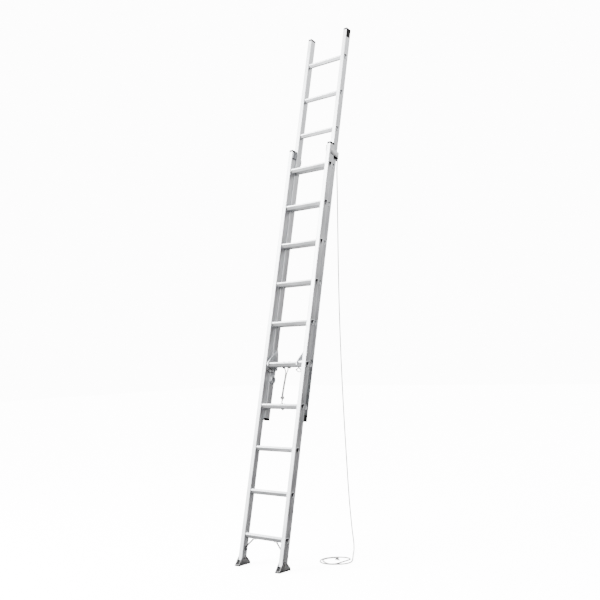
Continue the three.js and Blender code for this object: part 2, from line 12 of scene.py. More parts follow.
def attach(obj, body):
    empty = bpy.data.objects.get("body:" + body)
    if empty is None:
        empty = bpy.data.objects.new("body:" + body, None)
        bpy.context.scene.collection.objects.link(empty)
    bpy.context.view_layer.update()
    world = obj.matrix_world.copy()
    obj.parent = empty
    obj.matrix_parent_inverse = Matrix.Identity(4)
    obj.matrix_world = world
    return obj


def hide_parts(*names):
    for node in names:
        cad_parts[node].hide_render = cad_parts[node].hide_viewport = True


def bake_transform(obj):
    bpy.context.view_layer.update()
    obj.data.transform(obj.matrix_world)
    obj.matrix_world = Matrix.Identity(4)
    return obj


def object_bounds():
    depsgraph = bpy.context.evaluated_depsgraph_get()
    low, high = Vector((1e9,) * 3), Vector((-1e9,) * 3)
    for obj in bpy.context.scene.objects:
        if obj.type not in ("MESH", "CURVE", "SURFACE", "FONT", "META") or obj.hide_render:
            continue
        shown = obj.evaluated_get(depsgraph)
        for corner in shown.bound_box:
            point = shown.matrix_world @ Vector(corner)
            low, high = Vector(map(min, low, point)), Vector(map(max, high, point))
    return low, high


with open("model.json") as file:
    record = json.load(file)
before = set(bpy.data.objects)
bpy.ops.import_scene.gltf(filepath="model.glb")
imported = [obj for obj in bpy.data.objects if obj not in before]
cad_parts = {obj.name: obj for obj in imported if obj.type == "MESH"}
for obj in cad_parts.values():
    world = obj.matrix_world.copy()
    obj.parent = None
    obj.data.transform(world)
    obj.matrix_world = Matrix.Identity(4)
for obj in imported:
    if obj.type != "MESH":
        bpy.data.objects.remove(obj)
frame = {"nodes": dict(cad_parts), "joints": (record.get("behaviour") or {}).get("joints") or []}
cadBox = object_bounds()
joints = {joint["name"]: joint for joint in frame["joints"]}
alongLadder = joints["fly_slide"]["axis"]
leanAngle = math.atan2(alongLadder[1], alongLadder[2])
footPivot = joints["foot_left_swivel"]["pos_m"]
sheaveCentre = joints["sheave_spin"]["pos_m"]
print("frame loaded")

ladder = {
    "rungPitch": 0.330, "rungCount": 10, "raisedRungs": 3, "flyRise": 0.005,
    "baseInner": 0.186, "baseOuter": 0.221, "baseDepth": 0.052, "lipDepth": 0.060, "lipWall": 0.0025,
    "flyInner": 0.1755, "flyOuter": 0.2105, "flyFace": 0.2065, "flyFront": 0.0535, "flyBack": 0.1105,
    "baseRungDepth": 0.026, "flyRungDepth": 0.0787, "footDrop": 0.164, "fit": 0.0003,
    "baseTop": 3.158, "baseBottom": -0.186, "capPlate": 0.009, "flyAbove": 0.259, "flyBelow": 0.110,
}
flyRungLevels = [(i + ladder["raisedRungs"]) * ladder["rungPitch"] + ladder["flyRise"] for i in range(10)]
baseRungLevels = [i * ladder["rungPitch"] for i in range(10)]
lockLevel = baseRungLevels[ladder["raisedRungs"] + 1]


def onLadder(points):
    # turns ladder coordinates about the foot bolt by the lean
    points = np.asarray(points, float)
    through = points[..., 1] - ladder["baseRungDepth"]
    up = points[..., 2] + ladder["footDrop"]
    c, s = math.cos(leanAngle), math.sin(leanAngle)
    away, height = footPivot[1] + through * c + up * s, footPivot[2] - through * s + up * c
    return np.stack([points[..., 0], away, height], -1)


# ---- materials

def linear(hexColour):
    # sRGB to linear: the power 2.4 curve above its straight foot
    value = np.array([int(hexColour[i:i + 2], 16) for i in (0, 2, 4)]) / 255
    curved = np.where(value <= 0.04045, value / 12.92, ((value + 0.055) / 1.055) ** 2.4)
    return (*curved, 1.0)


def addNode(tree, kind, settings=None, **links):
    # settings go to the node's own fields or, by socket name, to its inputs; links are (node, output) pairs
    node = tree.nodes.new(kind)
    for key, value in (settings or {}).items():
        if key in node.inputs:
            node.inputs[key].default_value = value
        else:
            setattr(node, key, value)
    for key, (source, output) in links.items():
        socket = node.inputs[int(key[1:])] if key[0] == "n" and key[1:].isdigit() else node.inputs[key]
        tree.links.new(source.outputs[output], socket)
    return node


def newMaterial(name, fixed):
    # a material with one principled shader; fixed holds the values that are the same all over it
    material = bpy.data.materials.new(name)
    material.use_nodes = True
    shader = material.node_tree.nodes["Principled BSDF"]
    for key, value in fixed.items():
        shader.inputs[key].default_value = value
    return material, material.node_tree, shader


def mapped(tree, stretch, turn=0.0):
    # object coordinates turned about X to follow the leaning stiles, then scaled per axis
    place = addNode(tree, "ShaderNodeTexCoord")
    turned = addNode(tree, "ShaderNodeMapping", {"Rotation": (turn, 0, 0)}, Vector=(place, "Object"))
    return addNode(tree, "ShaderNodeMapping", {"Scale": stretch}, Vector=(turned, "Vector"))


def ramp(tree, source, low, high, fromMin=0.3, fromMax=0.7):
    # two colours or greys laid over part of a pattern's range
    scaled = addNode(tree, "ShaderNodeMapRange", {"From Min": fromMin, "From Max": fromMax}, Value=source)
    mix = addNode(tree, "ShaderNodeMix", {"data_type": "RGBA"})
    mix.inputs[6].default_value, mix.inputs[7].default_value = low, high
    tree.links.new(scaled.outputs["Result"], mix.inputs[0])
    return mix


def bumped(tree, shader, source, height, strength=1.0):
    bump = addNode(tree, "ShaderNodeBump", {"Distance": height, "Strength": strength}, Height=source)
    tree.links.new(bump.outputs["Normal"], shader.inputs["Normal"])
    return bump


def roughened(tree, shader, source, low, high):
    # the roughness goes from low to high over the middle of a pattern's range
    rough = addNode(tree, "ShaderNodeMapRange",
                    {"From Min": 0.3, "From Max": 0.7, "To Min": low, "To Max": high}, Value=source)
    tree.links.new(rough.outputs["Result"], shader.inputs["Roughness"])


def extrudedAluminium(name, alongX):
    # mill-finish aluminium pressed through a die: satin, with fine straight die lines along the bar
    # and faint cloudy streaks; the lines are 1.2 mm apart, a few times coarser than real, so they show
    material, tree, shader = newMaterial(name, {"Metallic": 1.0})
    fine, long = 1 / 0.0012, 1 / 0.5
    stretch = (long, fine, fine) if alongX else (fine, fine, long)
    lines = addNode(tree, "ShaderNodeTexNoise", {"Scale": 1.0, "Detail": 3.0},
                    Vector=(mapped(tree, stretch, 0 if alongX else leanAngle), "Vector"))
    clouds = addNode(tree, "ShaderNodeTexNoise", {"Scale": 1.0, "Detail": 4.0},
                     Vector=(mapped(tree, (14, 30, 6) if not alongX else (6, 30, 30), leanAngle), "Vector"))
    colour = ramp(tree, (clouds, "Fac"), linear("B9BBBD"), linear("CDCED0"))
    streaks = ramp(tree, (lines, "Fac"), linear("E2E2E2"), linear("FFFFFF"))
    both = addNode(tree, "ShaderNodeMix", {"data_type": "RGBA", "blend_type": "MULTIPLY"})
    both.inputs[0].default_value = 1.0
    tree.links.new(colour.outputs[2], both.inputs[6])
    tree.links.new(streaks.outputs[2], both.inputs[7])
    tree.links.new(both.outputs[2], shader.inputs["Base Color"])
    roughened(tree, shader, (clouds, "Fac"), 0.36, 0.5)
    bumped(tree, shader, (lines, "Fac"), 0.00006)
    return material


def castAluminium():
    # sand-cast aluminium, fettled: dull, a little darker than the bars, with a 1 mm grit
    material, tree, shader = newMaterial("sandCastAluminium", {"Metallic": 1.0})
    grit = addNode(tree, "ShaderNodeTexNoise", {"Scale": 1 / 0.0016, "Detail": 3.0},
                   Vector=(mapped(tree, (1, 1, 1)), "Vector"))
    patches = addNode(tree, "ShaderNodeTexNoise", {"Scale": 1 / 0.03, "Detail": 4.0},
                      Vector=(mapped(tree, (1, 1, 1)), "Vector"))
    colour = ramp(tree, (patches, "Fac"), linear("9FA1A4"), linear("B9BBBE"))
    tree.links.new(colour.outputs[2], shader.inputs["Base Color"])
    roughened(tree, shader, (grit, "Fac"), 0.42, 0.6)
    bumped(tree, shader, (grit, "Fac"), 0.00025)
    return material


def zincPlatedSteel(name, dark, light, roughLow=0.34, roughHigh=0.52):
    # pressed sheet steel, zinc plated: grey metal in soft 6 mm patches with small stains
    material, tree, shader = newMaterial(name, {"Metallic": 1.0})
    spangle = addNode(tree, "ShaderNodeTexVoronoi", {"Scale": 1 / 0.006, "Randomness": 1.0},
                      Vector=(mapped(tree, (1, 1, 1)), "Vector"))
    stains = addNode(tree, "ShaderNodeTexNoise", {"Scale": 1 / 0.02, "Detail": 6.0},
                     Vector=(mapped(tree, (1, 1, 1)), "Vector"))
    colour = ramp(tree, (stains, "Fac"), linear(dark), linear(light))
    tint = addNode(tree, "ShaderNodeMix", {"data_type": "RGBA", "blend_type": "SOFT_LIGHT"})
    tint.inputs[0].default_value = 0.25
    tree.links.new(colour.outputs[2], tint.inputs[6])
    tree.links.new(spangle.outputs["Color"], tint.inputs[7])
    grey = addNode(tree, "ShaderNodeHueSaturation", {"Saturation": 0.12}, Color=(tint, 2))
    tree.links.new(grey.outputs["Color"], shader.inputs["Base Color"])
    roughened(tree, shader, (stains, "Fac"), roughLow, roughHigh)
    bumped(tree, shader, (stains, "Fac"), 0.0001)
    return material


def mouldedPolyamide(name, dark, light, specular):
    # polyamide: spark-eroded grain of 0.8 mm, soft highlights, slightly greyed by wear
    material, tree, shader = newMaterial(name, {"IOR": 1.53, "Specular IOR Level": specular})
    grain = addNode(tree, "ShaderNodeTexNoise", {"Scale": 1 / 0.0008, "Detail": 2.0},
                    Vector=(mapped(tree, (1, 1, 1)), "Vector"))
    wear = addNode(tree, "ShaderNodeTexNoise", {"Scale": 1 / 0.025, "Detail": 6.0, "Roughness": 0.7},
                   Vector=(mapped(tree, (1, 1, 1)), "Vector"))
    colour = ramp(tree, (wear, "Fac"), linear(dark), linear(light), 0.45, 0.75)
    tree.links.new(colour.outputs[2], shader.inputs["Base Color"])
    roughened(tree, shader, (wear, "Fac"), 0.42, 0.6)
    bumped(tree, shader, (grain, "Fac"), 0.00012)
    return material


def soleRubber():
    # carbon-black rubber: dull, with pale dust caught in a 1.5 mm texture
    material, tree, shader = newMaterial("vulcanisedRubber", {"IOR": 1.52, "Specular IOR Level": 0.06})
    dust = addNode(tree, "ShaderNodeTexNoise", {"Scale": 1 / 0.012, "Detail": 8.0, "Roughness": 0.75},
                   Vector=(mapped(tree, (1, 1, 1)), "Vector"))
    pores = addNode(tree, "ShaderNodeTexNoise", {"Scale": 1 / 0.0015, "Detail": 3.0},
                    Vector=(mapped(tree, (1, 1, 1)), "Vector"))
    colour = ramp(tree, (dust, "Fac"), linear("050505"), linear("131312"), 0.5, 0.8)
    tree.links.new(colour.outputs[2], shader.inputs["Base Color"])
    roughened(tree, shader, (dust, "Fac"), 0.72, 0.9)
    bumped(tree, shader, (pores, "Fac"), 0.0002)
    return material


def laidRopeFibre():
    # twisted polypropylene rope: off-white, slightly glossy fibres that run along each strand, with
    # painted shade darkening the grooves between the strands. UV runs once round the rope across and in
    # metres along it.
    material, tree, shader = newMaterial("laidPolypropyleneRope", {"IOR": 1.49, "Sheen Weight": 0.15,
                                                                     "Sheen Roughness": 0.4})
    uv = addNode(tree, "ShaderNodeUVMap", {"uv_map": "ropeUV"})
    # fibres are drawn 0.7 mm apart and leaned against the strands' twist
    skew = addNode(tree, "ShaderNodeMapping", {"Scale": (26, 160, 1), "Rotation": (0, 0, 0.35)},
                   Vector=(uv, "UV"))
    fibres = addNode(tree, "ShaderNodeTexNoise", {"Scale": 1.0, "Detail": 3.0}, Vector=(skew, "Vector"))
    dirt = addNode(tree, "ShaderNodeTexNoise", {"Scale": 1 / 0.05, "Detail": 6.0},
                   Vector=(mapped(tree, (1, 1, 1)), "Vector"))
    colour = ramp(tree, (dirt, "Fac"), linear("5E5E5D"), linear("828280"))
    threads = ramp(tree, (fibres, "Fac"), linear("B4B4B2"), linear("FFFFFF"))
    # painted shade: the colour is darkened where the strands dip into the grooves between them
    groove = addNode(tree, "ShaderNodeAttribute", {"attribute_name": "grooveDepth"})
    shade = ramp(tree, (groove, "Fac"), linear("FFFFFF"), linear("6E6E6C"), 0.2, 1.0)
    first = addNode(tree, "ShaderNodeMix", {"data_type": "RGBA", "blend_type": "MULTIPLY"})
    second = addNode(tree, "ShaderNodeMix", {"data_type": "RGBA", "blend_type": "MULTIPLY"})
    for mix, a, b in ((first, colour, threads), (second, first, shade)):
        mix.inputs[0].default_value = 1.0
        tree.links.new(a.outputs[2], mix.inputs[6])
        tree.links.new(b.outputs[2], mix.inputs[7])
    tree.links.new(second.outputs[2], shader.inputs["Base Color"])
    shader.inputs["Roughness"].default_value = 0.62
    bumped(tree, shader, (fibres, "Fac"), 0.0003)
    return material


finishes = {
    "stile": extrudedAluminium("extrudedAluminiumStile", False),
    "rung": extrudedAluminium("extrudedAluminiumRung", True),
    "cast": castAluminium(),
    "steel": zincPlatedSteel("zincPlatedSteel", "8D9093", "A9ACAF"),
    "shoeSteel": zincPlatedSteel("zincPlatedShoeSteel", "66686B", "85888B", 0.4, 0.58),
    "bolt": zincPlatedSteel("zincPlatedBolt", "8A8A88", "B0B0AE", 0.25, 0.4),
    # the strap steel of the rung braces and lock tongues is given a dark colour as painted shade
    "brace": zincPlatedSteel("zincPlatedStrap", "484A4D", "66696C", 0.45, 0.62),
    "black": mouldedPolyamide("mouldedPolyamide", "050506", "0E0F11", 0.06),
    "grey": mouldedPolyamide("greyPolyamide", "6E7074", "8E9195", 0.3),
    # the fly strip's dark grey is painted shade along the fly's outer side
    "strip": mouldedPolyamide("slidingPolyamideStrip", "404244", "56585B", 0.2),
    "rubber": soleRubber(),
    "rope": laidRopeFibre(),
}
print("materials made")


# ---- making pieces

sharpAngle = math.radians(32)


def meshObject(name, vertices, faces, finish):
    mesh = bpy.data.meshes.new(name)
    mesh.from_pydata(np.asarray(vertices).reshape(-1, 3).tolist(), [], faces)
    mesh.materials.append(finishes[finish])
    mesh.shade_smooth()
    mesh.set_sharp_from_angle(angle=sharpAngle)
    piece = bpy.data.objects.new(name, mesh)
    bpy.context.scene.collection.objects.link(piece)
    return piece


def finished(piece, body, nodes):
    # the piece moves with its body, and stands for the CAD nodes that it replaces
    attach(piece, body)
    if nodes:
        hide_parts(*nodes)
    return piece


def gridFaces(rows, columns, closeRows=False, closeColumns=False, start=0):
    # each cell joins a grid point to the next along, the next across and both
    i, j = np.meshgrid(np.arange(rows if closeRows else rows - 1),
                       np.arange(columns if closeColumns else columns - 1), indexing="ij")
    nextI, nextJ = (i + 1) % rows, (j + 1) % columns
    cells = np.stack([i * columns + j, i * columns + nextJ, nextI * columns + nextJ, nextI * columns + j], -1)
    return cells.reshape(-1, 4) + start


def outwardFaces(vertices, faces):
    # the sum of origin tetrahedra over a closed skin is its volume: negative when it is inside out
    flat = np.asarray(vertices).reshape(-1, 3)
    corners = flat[faces]
    volume = sum(np.einsum("ij,ij->", np.cross(corners[:, 0], corners[:, a]), corners[:, a + 1])
                 for a in (1, 2))
    return faces[:, ::-1] if volume < 0 else faces


def joinedMesh(name, parts, finish):
    # several closed skins in one mesh; each is (vertices, faces)
    vertices, faces, start = [], [], 0
    for points, polygons in parts:
        points = np.asarray(points).reshape(-1, 3)
        vertices.append(points)
        faces += [[index + start for index in polygon] for polygon in polygons]
        start += len(points)
    return meshObject(name, np.concatenate(vertices), faces, finish)


def arcCorners(corners, steps=4):
    # each corner (x, y, radius) becomes an arc that touches both of its sides
    points = []
    for i, (x, y, radius) in enumerate(corners):
        here = np.array((x, y))
        if radius <= 0:
            points.append(here)
            continue
        before = np.array(corners[i - 1][:2]) - here
        after = np.array(corners[(i + 1) % len(corners)][:2]) - here
        before, after = before / np.linalg.norm(before), after / np.linalg.norm(after)
        half = math.acos(np.clip(before @ after, -1, 1)) / 2
        middle = (before + after) / np.linalg.norm(before + after)
        centre = here + middle * radius / math.sin(half)
        first = here + before * radius / math.tan(half) - centre
        last = here + after * radius / math.tan(half) - centre
        start, end = math.atan2(first[1], first[0]), math.atan2(last[1], last[0])
        sweep = (end - start + math.pi) % (2 * math.pi) - math.pi
        angles = start + sweep * np.linspace(0, 1, steps + 1)
        points += list(centre + radius * np.stack([np.cos(angles), np.sin(angles)], -1))
    return np.array(points)


def roundedCopy(node, finish, body, radius=0.0006, segments=2):
    # a merged copy of a CAD solid, with its flat faces made whole and its edges rounded over
    source = frame["nodes"][node]
    shape = bmesh.new()
    shape.from_mesh(source.data)
    bmesh.ops.remove_doubles(shape, verts=shape.verts, dist=0.00002)
    bmesh.ops.dissolve_limit(shape, angle_limit=math.radians(1), verts=shape.verts, edges=shape.edges)
    mesh = bpy.data.meshes.new(node + "_look")
    shape.to_mesh(mesh)
    shape.free()
    mesh.materials.clear()
    mesh.materials.append(finishes[finish])
    mesh.shade_smooth()
    piece = bpy.data.objects.new(mesh.name, mesh)
    bpy.context.scene.collection.objects.link(piece)
    bevel = piece.modifiers.new("edges", "BEVEL")
    bevel.width, bevel.segments, bevel.limit_method = radius, segments, "ANGLE"
    bevel.angle_limit, bevel.harden_normals = math.radians(34), True
    return finished(piece, body, [node])


# ---- camera, light and floor

view = {"place": (4.57267, -5.37459, 1.56878), "forward": (-0.64454426, 0.76201153, 0.06245894),
        "right": (0.7617737, 0.64701969, -0.03265501), "up": (0.06529566, -0.02653197, 0.99751317),
        "lens": 52.98, "sensor": 36.0}
studio = {"background": "FFFFFF", "backdropStrength": 13.0, "bright": 7.5, "under": 0.9,
          "leftRise": (-0.45, 0.02), "dim": 0.22, "dimTop": 4.8, "rightRise": (0.14, 0.44), "blend": 0.3,
          "floor": "F8F8F8", "floorGlow": 8.5, "floorReach": 30, "floorDrop": 0.0002,
          "keyWatts": 1300, "keySize": 3.5, "keyPlace": (-2.5, -4.5, 5.0), "keyAim": (0, 0, 1.8)}


def buildStudio():
    cameraData = bpy.data.cameras.new("camera")
    cameraData.lens, cameraData.sensor_width = view["lens"], view["sensor"]
    camera = bpy.data.objects.new("camera", cameraData)
    basis = Matrix((view["right"], view["up"], [-x for x in view["forward"]])).transposed()
    camera.matrix_world = Matrix.Translation(view["place"]) @ basis.to_4x4()
    bpy.context.scene.collection.objects.link(camera)
    bpy.context.scene.camera = camera

    # the room is bright to the left and in front, and dim to the right, where it grows lighter upwards;
    # under the horizon it is darker everywhere, so the undersides of the rungs are shaded
    world = bpy.data.worlds.new("studio")
    world.use_nodes = True
    tree = world.node_tree
    tree.nodes.clear()
    place = addNode(tree, "ShaderNodeTexCoord")
    split = addNode(tree, "ShaderNodeSeparateXYZ", Vector=(place, "Generated"))
    (leftLow, leftHigh), (rightLow, rightHigh) = studio["leftRise"], studio["rightRise"]
    left = addNode(tree, "ShaderNodeMapRange",
                   {"From Min": leftLow, "From Max": leftHigh, "To Min": studio["under"],
                    "To Max": studio["bright"]}, Value=(split, "Z"))
    right = addNode(tree, "ShaderNodeMapRange",
                    {"From Min": rightLow, "From Max": rightHigh, "To Min": studio["dim"],
                     "To Max": studio["dimTop"]}, Value=(split, "Z"))
    side = addNode(tree, "ShaderNodeMapRange",
                   {"From Min": -studio["blend"], "From Max": studio["blend"]}, Value=(split, "X"))
    level = addNode(tree, "ShaderNodeMix", n0=(side, "Result"), n2=(left, "Result"), n3=(right, "Result"))
    room = addNode(tree, "ShaderNodeBackground", {"Color": linear("FFFFFF")}, Strength=(level, 0))
    plain = addNode(tree, "ShaderNodeBackground", {"Color": linear(studio["background"]),
                                                   "Strength": studio["backdropStrength"]})
    path = addNode(tree, "ShaderNodeLightPath")
    both = addNode(tree, "ShaderNodeMixShader", n0=(path, "Is Camera Ray"), n1=(room, 0), n2=(plain, 0))
    addNode(tree, "ShaderNodeOutputWorld", Surface=(both, 0))
    bpy.context.scene.world = world

    light = bpy.data.lights.new("key", "AREA")
    light.energy, light.size = studio["keyWatts"], studio["keySize"]
    key = bpy.data.objects.new("key", light)
    key.location = studio["keyPlace"]
    key.rotation_euler = (Vector(studio["keyAim"]) - key.location).to_track_quat("-Z", "Y").to_euler()
    bpy.context.scene.collection.objects.link(key)

    corners = studio["floorReach"] * np.array([(-1, -1, 0), (1, -1, 0), (1, 1, 0), (-1, 1, 0)])
    corners = corners + (0, 0, cadBox[0][2] - studio["floorDrop"])
    floorMesh = bpy.data.meshes.new("floor")
    floorMesh.from_pydata(corners.tolist(), [], [(0, 1, 2, 3)])
    floor = bpy.data.objects.new("floor", floorMesh)
    # a lit white sweep: it glows a little, so that it meets the backdrop without a line
    material, _, _ = newMaterial("litSweep", {"Base Color": linear(studio["floor"]), "Roughness": 0.9,
                                              "Emission Color": linear(studio["background"]),
                                              "Emission Strength": studio["floorGlow"]})
    floorMesh.materials.append(material)
    bpy.context.scene.collection.objects.link(floor)
    # the floor is only a ground to stand on: it is left out of reflections and of the light on the ladder
    floor.visible_glossy = False
    floor.visible_diffuse = False


buildStudio()
print("studio built")


# ---- ropes

rope = {"radius": 0.0045, "lay": 0.030, "strands": 3, "around": 18, "step": 0.0024, "valley": 0.14,
        "sheaveRadius": 0.022, "hitchX": -0.035, "blendTop": 0.05, "blendLow": 0.46}


def smoothPath(points, step):
    # centripetal Catmull-Rom through the points: each span blends two quadratics of chord^0.5 knots
    points = np.asarray(points, float)
    points = np.concatenate([[2 * points[0] - points[1]], points, [2 * points[-1] - points[-2]]])
    line = []
    for a, b, c, d in zip(points, points[1:], points[2:], points[3:]):
        knots = np.cumsum([0, *(np.linalg.norm(q - p) ** 0.5 for p, q in ((a, b), (b, c), (c, d)))])
        count = max(2, int(np.ceil(np.linalg.norm(c - b) / step)))
        t = np.linspace(knots[1], knots[2], count, endpoint=False)[:, None]

        def between(p, q, i, j):
            return ((knots[j] - t) * p + (t - knots[i]) * q) / (knots[j] - knots[i])

        first, second, third = between(a, b, 0, 1), between(b, c, 1, 2), between(c, d, 2, 3)
        line.append(between(between(first, second, 0, 2), between(second, third, 1, 3), 1, 2))
    return np.concatenate([*line, points[-2:-1]])


def evenly(line, step):
    # the same line with its points a fixed distance apart
    run = np.concatenate([[0], np.cumsum(np.linalg.norm(np.diff(line, axis=0), axis=1))])
    at = np.linspace(0, run[-1], max(3, int(run[-1] / step) + 1))
    return np.stack([np.interp(at, run, line[:, k]) for k in range(3)], -1), at


def carriedFrames(line, closed=False):
    # two directions square to the line, turned from point to point by no more than the line itself turns
    ahead = np.gradient(line, axis=0)
    if closed:
        ahead = np.roll(line, -1, 0) - np.roll(line, 1, 0)
    ahead /= np.linalg.norm(ahead, axis=1)[:, None]
    across = np.empty_like(line)
    seed = np.array((1.0, 0.0, 0.0)) if abs(ahead[0][0]) < 0.8 else np.array((0.0, 1.0, 0.0))
    for i, direction in enumerate(ahead):
        seed = seed - direction * (seed @ direction)
        seed = seed / np.linalg.norm(seed)
        across[i] = seed
    return ahead, across, np.cross(ahead, across)


def ropeSkin(line, closed=False, taper=False):
    # strands: the radius swells and dips three times round, and that pattern turns once per lay
    line, at = evenly(line, rope["step"])
    if closed:
        line, at = line[:-1], at[:-1]
    _, across, over = carriedFrames(line, closed)
    turns = at / rope["lay"]
    if closed:
        turns = np.round(at[-1] / rope["lay"]) * np.arange(len(at)) / len(at)
    angle = 2 * np.pi * np.arange(rope["around"]) / rope["around"]
    lobes = np.abs(np.cos(rope["strands"] / 2 * (angle[None, :] - 2 * np.pi * turns[:, None]))) ** 0.55
    radius = rope["radius"] * (1 - rope["valley"] * (1 - lobes))
    if taper:
        radius[-3:] *= np.array([0.95, 0.82, 0.6])[:, None]
    skin = line[:, None] + radius[..., None] * (np.cos(angle)[None, :, None] * across[:, None]
                                                + np.sin(angle)[None, :, None] * over[:, None])
    rows, columns = skin.shape[:2]
    faces = gridFaces(rows, columns, closed, True)
    alongRope = np.broadcast_to(at[:, None], (rows, columns))
    return {"skin": skin, "faces": outwardRope(skin, faces, closed), "along": alongRope, "depth": 1 - lobes}


def outwardRope(skin, faces, closed):
    # the ends of an open rope are closed with one face each before its sides are turned outwards
    if closed:
        return outwardFaces(skin, faces).tolist()
    rows, columns = skin.shape[:2]
    middle = skin.reshape(-1, 3)[faces[0]].mean(0) - skin[0].mean(0)
    first = skin.reshape(-1, 3)[faces[0]]
    facing = np.cross(first[1] - first[0], first[3] - first[0]) @ middle
    if facing < 0:
        faces = faces[:, ::-1]
    start, end = list(range(columns)), list(range((rows - 1) * columns, rows * columns))
    firstEdge = faces[0].tolist()
    forwards = (firstEdge.index(1) - firstEdge.index(0)) % 4 == 1
    return faces.tolist() + [start[::-1] if forwards else start, end if forwards else end[::-1]]


def ropeObject(name, skins):
    vertices = np.concatenate([s["skin"].reshape(-1, 3) for s in skins])
    starts = np.cumsum([0, *(s["skin"].shape[0] * s["skin"].shape[1] for s in skins)])
    faces = [[i + start for i in face] for s, start in zip(skins, starts) for face in s["faces"]]
    piece = meshObject(name, vertices, faces, "rope")
    mesh = piece.data
    depth = mesh.attributes.new("grooveDepth", "FLOAT", "POINT")
    depth.data.foreach_set("value", np.concatenate([s["depth"].ravel() for s in skins]).astype(np.float32))
    # UV: the share of a turn across, metres along; the seam's last column counts as a whole turn
    corner = np.empty(len(mesh.loops), np.int32)
    mesh.loops.foreach_get("vertex_index", corner)
    columns = rope["around"]
    turned = (corner % columns) / columns
    along = np.concatenate([s["along"].ravel() for s in skins])[corner]
    sizes = np.empty(len(mesh.polygons), np.int32)
    mesh.polygons.foreach_get("loop_total", sizes)
    owner = np.repeat(np.arange(len(sizes)), sizes)
    high = np.zeros(len(sizes))
    np.maximum.at(high, owner, turned)
    seam = (high[owner] > 0.75) & (turned < 0.25) & (sizes[owner] == 4)
    uv = np.stack([turned + seam, along], -1)
    layer = mesh.uv_layers.new(name="ropeUV")
    layer.data.foreach_set("uv", uv.ravel().astype(np.float32))
    return piece


# the free rope from the sheave to the floor, in millimetres; floorShift is where these points' zero lies
# along the frame's Y, in metres
floorShift = -0.501209748
ropeRoute = [(206, 816, 3120), (205, 812, 3050), (203, 810, 2900), (198, 806, 2600), (192, 802, 2250),
             (189, 799, 1900), (190, 798, 1550), (194, 800, 1200), (201, 806, 800), (210, 815, 400),
             (220, 826, 160), (229, 829, 62), (238, 817, 25), (249, 801, 11), (264, 778, 6.2), (300, 724, 5),
             (347, 658, 4.8), (394, 592, 4.8), (432.8, 533.1, 4.8)]
# the two loose loops on the floor, in millimetres: to the right and away from coilMiddle, along the two
# directions coilRight and coilAway
floorLoops = [(112, -62), (84, -98), (45, -116), (0, -118), (-45, -111), (-82, -88), (-108, -52), (-119, -10),
              (-113, 35), (-90, 75), (-52, 103), (-5, 113), (42, 109), (80, 92), (106, 62), (110, 28),
              (92, 0), (66, -28), (38, -60), (12, -90), (-20, -104), (-52, -96), (-74, -68), (-86, -32),
              (-97, 6), (-95, 40), (-74, 72), (-40, 93), (-4, 97), (18, 84), (20, 62), (11, 44)]
coilMiddle, coilRight, coilAway = (328, 465), (0.762, 0.647), (-0.6455, 0.7637)


def floorPoint(right, away, height=4.8):
    # the middle, plus right and away times their directions, in metres
    x = coilMiddle[0] + right * coilRight[0] + away * coilAway[0]
    y = coilMiddle[1] + right * coilRight[1] + away * coilAway[1]
    return (x / 1000, y / 1000 + floorShift, height / 1000)


def knotLine(middle, size, height, tilt, count=90):
    # a trefoil: x = sin t + 2 sin 2t, y = cos t - 2 cos 2t, height = -sin 3t
    t = 2 * np.pi * np.arange(count + 1) / count
    flat = np.stack([size * (np.sin(t) + 2 * np.sin(2 * t)), size * (np.cos(t) - 2 * np.cos(2 * t)),
                     -height * np.sin(3 * t)], -1)
    return flat @ np.array(Matrix.Rotation(tilt, 3, "X")).T + middle


def freeRope():
    top = onLadder((sheaveCentre[0] + rope["sheaveRadius"], sheaveDepth, sheaveUp - ladder["fit"]))
    hanging = [top, *(np.array(p) / 1000 + (0, floorShift, 0) for p in ropeRoute)]
    loops = [floorPoint(*p) for p in floorLoops]
    line, at = evenly(smoothPath([*hanging, *loops], 0.004), rope["step"])
    piece = ropeObject("hoistRope", [ropeSkin(line)])
    finished(piece, "base", ["rope_free", "rope_coil"])
    middle = np.array(floorPoint(10, 41, 9.4))
    knot = ropeSkin(knotLine(middle, 0.0041, 0.0044, 0.0), closed=True)
    tip = smoothPath([middle + (0.004, -0.002, -0.002), floorPoint(20, 28, 6.5), floorPoint(30, 13)], 0.003)
    end = ropeObject("hoistRopeKnot", [knot, ropeSkin(tip, taper=True)])
    finished(end, "base", ["rope_end_knot"])
    print("free rope is", round(float(at[-1]), 3), "m long")


def sheaveOnLadder():
    # the sheave's centre taken back into ladder coordinates, by turning about the foot bolt
    y, z = sheaveCentre[1] - footPivot[1], sheaveCentre[2] - footPivot[2]
    c, s = math.cos(leanAngle), math.sin(leanAngle)
    return y * c - z * s + ladder["baseRungDepth"], y * s + z * c - ladder["footDrop"]


sheaveDepth, sheaveUp = sheaveOnLadder()
flyRungDepth = ladder["flyRungDepth"]
behindRung = 0.1042


def liftingRope():
    # half a turn over the sheave, straight down beside the fly, then in behind the fly's second rung; the
    # straight stretch is what grows and shrinks as the fly slides
    radius, x = rope["sheaveRadius"], sheaveCentre[0]
    turn = [(x + radius * math.cos(a), sheaveDepth, sheaveUp + radius * math.sin(a))
            for a in np.linspace(0, math.pi, 13)]
    low = lockLevel
    run = [(x - radius, sheaveDepth, sheaveUp - 0.06), (x - radius, sheaveDepth, low + 0.9),
           (x - radius, sheaveDepth - 0.001, low + 0.42), (0.150, 0.125, low + 0.30),
           (0.122, 0.122, low + 0.165), (0.108, 0.116, low + 0.08), (0.092, 0.109, low + 0.028),
           (0.070, behindRung, low + 0.008), (0.040, behindRung, low + 0.005),
           (-0.001, behindRung, low + 0.005)]
    line = smoothPath(onLadder([*turn, *run]), 0.004)
    piece = ropeObject("liftingRope", [ropeSkin(line)])
    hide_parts("rope_lift")
    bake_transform(piece)


